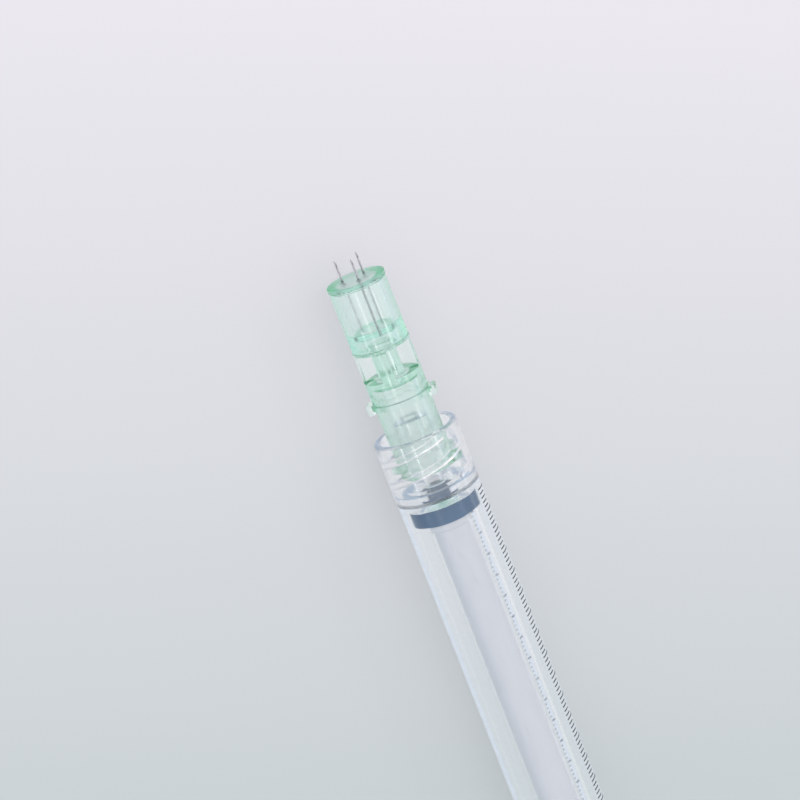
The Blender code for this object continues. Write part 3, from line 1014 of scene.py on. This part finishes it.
class MESO_OT_plunger(bpy.types.Operator):
    """Builds the rubber stopper and the rod with its thumb press"""

    bl_idname = "meso.plunger"
    bl_label = "Plunger"

    # Stations
    nose_start = 24.45 * MM
    nose_end = 25.6 * MM
    cone_start = 25.93 * MM
    cone_end = 26.6 * MM
    rib_start = 26.66 * MM
    snap_start = 27.45 * MM
    snap_end = 27.92 * MM
    rib_end = 28.45 * MM
    disc_start = 28.48 * MM
    disc_end = 29.18 * MM
    rod_start = 29.30 * MM
    # Radii
    stem = 0.6 * MM
    snap = 0.95 * MM
    nose_tip = 1.15 * MM
    nose = 1.354 * MM
    disc = 2.355 * MM
    dish = 3.2 * MM
    press = 4.5 * MM
    # How much wider the rib is than the bore, and how much narrower the cone ends
    rib_squeeze = 0.004 * MM
    cone_step = 0.13 * MM
    snap_gap = 0.03 * MM
    press_depth = 1.5 * MM
    dish_depth = 0.15 * MM

    def build_stopper(self, sizes, material):
        """The stopper: a nose, a cone and one sealing rib, with a socket for the rod's snap head."""
        rib = sizes.bore + self.rib_squeeze
        socket_start = self.snap_start - self.snap_gap
        socket_end = self.snap_end + self.snap_gap
        profile = [
            (self.nose_start, 0.0, 0.0),
            (self.nose_start, self.nose_tip, 0.12 * MM),
            (self.nose_end, self.nose, 0.0),
            (self.cone_start, self.nose, 0.0),
            (self.cone_end, rib - self.cone_step, 0.0),
            (self.rib_start, rib, 0.0),
            (self.rib_end, rib, 0.1 * MM),
            (self.rib_end, self.stem + self.snap_gap, 0.0),
            (socket_end, self.stem + self.snap_gap, 0.0),
            (socket_end, self.snap + self.snap_gap, 0.0),
            (socket_start, self.snap + self.snap_gap, 0.0),
            (socket_start, 0.0, 0.0),
        ]
        finish_piece("rubber_stopper", lathe(profile), "plunger", ["stopper"], material)

    def build_rod(self, sizes, material):
        """The rod: a snap head, a guide disc, the shaft and a thumb press with a shallow dish."""
        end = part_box("plunger_rod")[1].x - FACE
        press_start = end - self.press_depth
        dish_floor = end - self.dish_depth
        profile = [
            (self.snap_start, 0.0, 0.0),
            (self.snap_start, self.snap, 0.05 * MM),
            (self.snap_end, self.snap, 0.05 * MM),
            (self.snap_end, self.stem, 0.0),
            (self.disc_start, self.stem, 0.0),
            (self.disc_start, self.disc, 0.08 * MM),
            (self.disc_end, self.disc, 0.08 * MM),
            (self.rod_start, sizes.rod, 0.1 * MM),
            (press_start, sizes.rod, 0.8 * MM),
            (press_start, self.press, 0.35 * MM),
            (end, self.press, 0.5 * MM),
            (dish_floor, self.dish, 0.4 * MM),
            (dish_floor, 0.0, 0.0),
        ]
        finish_piece("plunger", lathe(profile), "plunger", ["plunger_rod"], material)

    def execute(self, context):
        sizes = context.scene.meso_syringe
        colours = context.scene.meso_colours
        self.build_stopper(sizes, stopper_rubber(colours))
        self.build_rod(sizes, rod_plastic(colours))
        return {"FINISHED"}


# Stage


class MESO_OT_stage(bpy.types.Operator):
    """Sets the floor, the soft studio light and the camera at the photograph's angle"""

    bl_idname = "meso.stage"
    bl_label = "Stage"

    # The camera: its angle round the object's axis, how far the needle end is turned towards it, how
    # the axis leans in the picture, the pixel of the cap's middle there, and the picture's side
    view_angle = math.radians(120)
    needle_tilt = math.radians(15)
    picture_turn = math.radians(21.4)
    face_pixel = (355.0, 278.5)
    picture = 800
    pixels_per_metre = 9300.0
    lens = 250.0
    clip = (0.01, 10.0)

    # The floor's painted shade runs over this much to either side of the picture's middle. It glows, which
    # keeps its colour even, and it glows alone and a little more where plastic or gloss shows it
    half_height = 43 * MM
    floor_size = 1.5
    paper_roughness = 0.9
    paper_gloss = 0.1
    glow = 1.06
    glow_behind = 0.10
    glow_share = 0.65

    # Height of a direction at which the room's light has its full colour
    sky_height = 0.5

    # Stations that the lamps aim at, and each lamp's place from there, size, power and colour
    lamp_target = 30 * MM
    lamps = (
        ("key", (-0.25, -0.35, 0.45), (0.35, 0.35), 0.5, (1.0, 0.99, 0.97)),
        ("strip", (0.05, 0.4, 0.3), (0.5, 0.08), 0.2, (0.97, 0.98, 1.0)),
    )
    # Small lamps that draw a streak of light along the hub, and their angles round its axis
    glint_target = 6 * MM
    glints = (("left glint", 172), ("front glint", 140), ("right glint", 75))
    glint_distance = 0.4
    glint_size = (0.035, 0.03)
    glint_power = 0.036
    glint_colour = (0.98, 0.99, 1.0)

    clear_bounces = 128
    diffuse_bounces = 12

    def build_camera(self):
        """The camera, the direction that is up in its picture, and the point in the picture's middle."""
        along = Vector((1.0, 0.0, 0.0))
        square = place(self.view_angle, 1.0)
        back = square * math.cos(self.needle_tilt) - along * math.sin(self.needle_tilt)
        side = back.cross(along).normalized()
        down = side.cross(back).normalized()
        right = math.sin(self.picture_turn) * down + math.cos(self.picture_turn) * side
        up = -math.cos(self.picture_turn) * down + math.sin(self.picture_turn) * side
        half = self.picture / 2
        centre = Vector((FACE, 0.0, AXIS_HEIGHT))
        centre = centre + right * (half - self.face_pixel[0]) / self.pixels_per_metre
        centre = centre - up * (half - self.face_pixel[1]) / self.pixels_per_metre
        data = bpy.data.cameras.new("camera")
        data.lens = self.lens
        data.clip_start, data.clip_end = self.clip
        distance = self.picture / self.pixels_per_metre * data.lens / data.sensor_width
        camera = bpy.data.objects.new("camera", data)
        bpy.context.scene.collection.objects.link(camera)
        turned = Matrix((right, up, back)).transposed().to_4x4()
        camera.matrix_world = Matrix.Translation(centre + back * distance) @ turned
        return camera, up, centre

    def pale_paper(self, colours, up, middle):
        """Paper with painted shade: its colour darkens from the head of the picture to its foot."""
        material, shader, output = blank_material("pale paper")
        tree = material.node_tree
        shader.inputs["Roughness"].default_value = self.paper_roughness
        shader.inputs["Specular IOR Level"].default_value = self.paper_gloss
        height = tree.nodes.new("ShaderNodeVectorMath")
        height.operation = "DOT_PRODUCT"
        height.inputs[1].default_value = up
        feed(tree, height.inputs[0], tree.nodes.new("ShaderNodeTexCoord").outputs["Object"])
        ramp = tree.nodes.new("ShaderNodeMapRange")
        ramp.inputs["From Min"].default_value = middle - self.half_height
        ramp.inputs["From Max"].default_value = middle + self.half_height
        feed(tree, ramp.inputs["Value"], height.outputs["Value"])
        near = (*colours.shaded_floor_near, 1.0)
        far = (*colours.lit_floor_far, 1.0)
        # Painted shade: the paper's colour darkens from the head of the picture to its foot
        shade = blend_colours(tree, ramp.outputs["Result"], near, far)
        feed(tree, shader.inputs["Base Color"], shade)
        path = tree.nodes.new("ShaderNodeLightPath").outputs
        behind = compute(tree, "MAXIMUM", path["Is Transmission Ray"], path["Is Glossy Ray"])
        glow = tree.nodes.new("ShaderNodeEmission")
        feed(tree, glow.inputs["Color"], shade)
        strength = compute(tree, "MULTIPLY_ADD", behind, self.glow_behind, self.glow)
        feed(tree, glow.inputs["Strength"], strength)
        mix = tree.nodes.new("ShaderNodeMixShader")
        feed(tree, mix.inputs["Fac"], compute(tree, "MAXIMUM", behind, self.glow_share))
        feed(tree, mix.inputs[1], shader.outputs["BSDF"])
        feed(tree, mix.inputs[2], glow.outputs["Emission"])
        feed(tree, output.inputs["Surface"], mix.outputs["Shader"])
        return material

    def build_floor(self, material):
        """The sheet of paper that the syringe lies on."""
        shape = bmesh.new()
        bmesh.ops.create_grid(shape, x_segments=1, y_segments=1, size=self.floor_size)
        floor = add_object("floor", shape)
        floor.data.materials.append(material)

    def add_lamp(self, name, spot, target, size, power, colour):
        """A soft oblong lamp that faces its target."""
        light = bpy.data.lights.new(name, "AREA")
        light.shape = "RECTANGLE"
        light.size, light.size_y = size
        light.energy = power
        light.color = colour
        lamp = bpy.data.objects.new(name, light)
        bpy.context.scene.collection.objects.link(lamp)
        lamp.location = spot
        lamp.rotation_euler = (target - spot).to_track_quat("-Z", "Y").to_euler()
        return lamp

    def build_lamps(self):
        """The soft lamps, and the small ones, which don't show through the plastic."""
        target = Vector((FACE + self.lamp_target, 0.0, AXIS_HEIGHT))
        for name, offset, size, power, colour in self.lamps:
            self.add_lamp(name, target + Vector(offset), target, size, power, colour)
        target = Vector((FACE + self.glint_target, 0.0, AXIS_HEIGHT))
        tilt = Vector((math.sin(self.needle_tilt), 0.0, 0.0))
        for name, degrees in self.glints:
            lean = math.cos(self.needle_tilt) * place(math.radians(degrees), 1.0) + tilt
            spot = target + self.glint_distance * lean
            glint = self.add_lamp(name, spot, target, self.glint_size, self.glint_power, self.glint_colour)
            glint.visible_transmission = False

    def build_sky(self, colours):
        """Soft light from all round the room, dimmer and bluer towards the horizon.

        The camera sees an even backdrop in its place.
        """
        backdrop = (Vector(colours.shaded_floor_near) + Vector(colours.lit_floor_far)) / 2
        world = bpy.data.worlds.new("studio")
        world.use_nodes = True
        tree = world.node_tree
        parts = tree.nodes.new("ShaderNodeSeparateXYZ")
        feed(tree, parts.inputs["Vector"], tree.nodes.new("ShaderNodeTexCoord").outputs["Generated"])
        height = tree.nodes.new("ShaderNodeMapRange")
        height.inputs["From Max"].default_value = self.sky_height
        feed(tree, height.inputs["Value"], parts.outputs["Z"])
        light = blend_colours(tree, height.outputs["Result"], (*colours.horizon, 1.0), (*colours.sky, 1.0))
        path = tree.nodes.new("ShaderNodeLightPath").outputs
        seen = blend_colours(tree, path["Is Camera Ray"], light, (*backdrop, 1.0))
        feed(tree, tree.nodes["Background"].inputs["Color"], seen)
        return world

    def execute(self, context):
        scene = context.scene
        colours = scene.meso_colours
        scene.camera, up, centre = self.build_camera()
        self.build_floor(self.pale_paper(colours, up, centre.dot(up)))
        self.build_lamps()
        scene.world = self.build_sky(colours)
        scene.view_settings.view_transform = "Standard"
        scene.cycles.max_bounces = self.clear_bounces
        scene.cycles.transmission_bounces = self.clear_bounces
        scene.cycles.glossy_bounces = self.clear_bounces
        scene.cycles.diffuse_bounces = self.diffuse_bounces
        return {"FINISHED"}


class MESO_PT_panel(bpy.types.Panel):
    """Lists the sizes, the colours and the steps that build the pieces"""

    bl_label = "Mesotherapy Needle"
    bl_idname = "MESO_PT_panel"
    bl_space_type = "VIEW_3D"
    bl_region_type = "UI"
    bl_category = "Mesotherapy"

    def draw(self, context):
        layout = self.layout
        for group in (context.scene.meso_needle, context.scene.meso_syringe, context.scene.meso_colours):
            box = layout.box()
            for name in group.__annotations__:
                box.prop(group, name)
        for step in STEPS:
            layout.operator(step.bl_idname)


STEPS = (
    MESO_OT_needles,
    MESO_OT_hub,
    MESO_OT_collar,
    MESO_OT_barrel,
    MESO_OT_scale,
    MESO_OT_plunger,
    MESO_OT_stage,
)
GROUPS = (MesoNeedleSizes, MesoSyringeSizes, MesoColours)


def register():
    for item in GROUPS + STEPS + (MESO_PT_panel,):
        bpy.utils.register_class(item)
    bpy.types.Scene.meso_needle = bpy.props.PointerProperty(type=MesoNeedleSizes)
    bpy.types.Scene.meso_syringe = bpy.props.PointerProperty(type=MesoSyringeSizes)
    bpy.types.Scene.meso_colours = bpy.props.PointerProperty(type=MesoColours)


def unregister():
    del bpy.types.Scene.meso_needle
    del bpy.types.Scene.meso_syringe
    del bpy.types.Scene.meso_colours
    for item in reversed(GROUPS + STEPS + (MESO_PT_panel,)):
        bpy.utils.unregister_class(item)


def main():
    register()
    for old in list(bpy.data.objects):
        if old.type in {"CAMERA", "LIGHT"} or old.name == "Cube":
            bpy.data.objects.remove(old, do_unlink=True)
    bpy.ops.meso.needles()
    bpy.ops.meso.hub()
    bpy.ops.meso.collar()
    bpy.ops.meso.barrel()
    bpy.ops.meso.scale()
    bpy.ops.meso.plunger()
    bpy.ops.meso.stage()


if __name__ == "__main__":
    main()
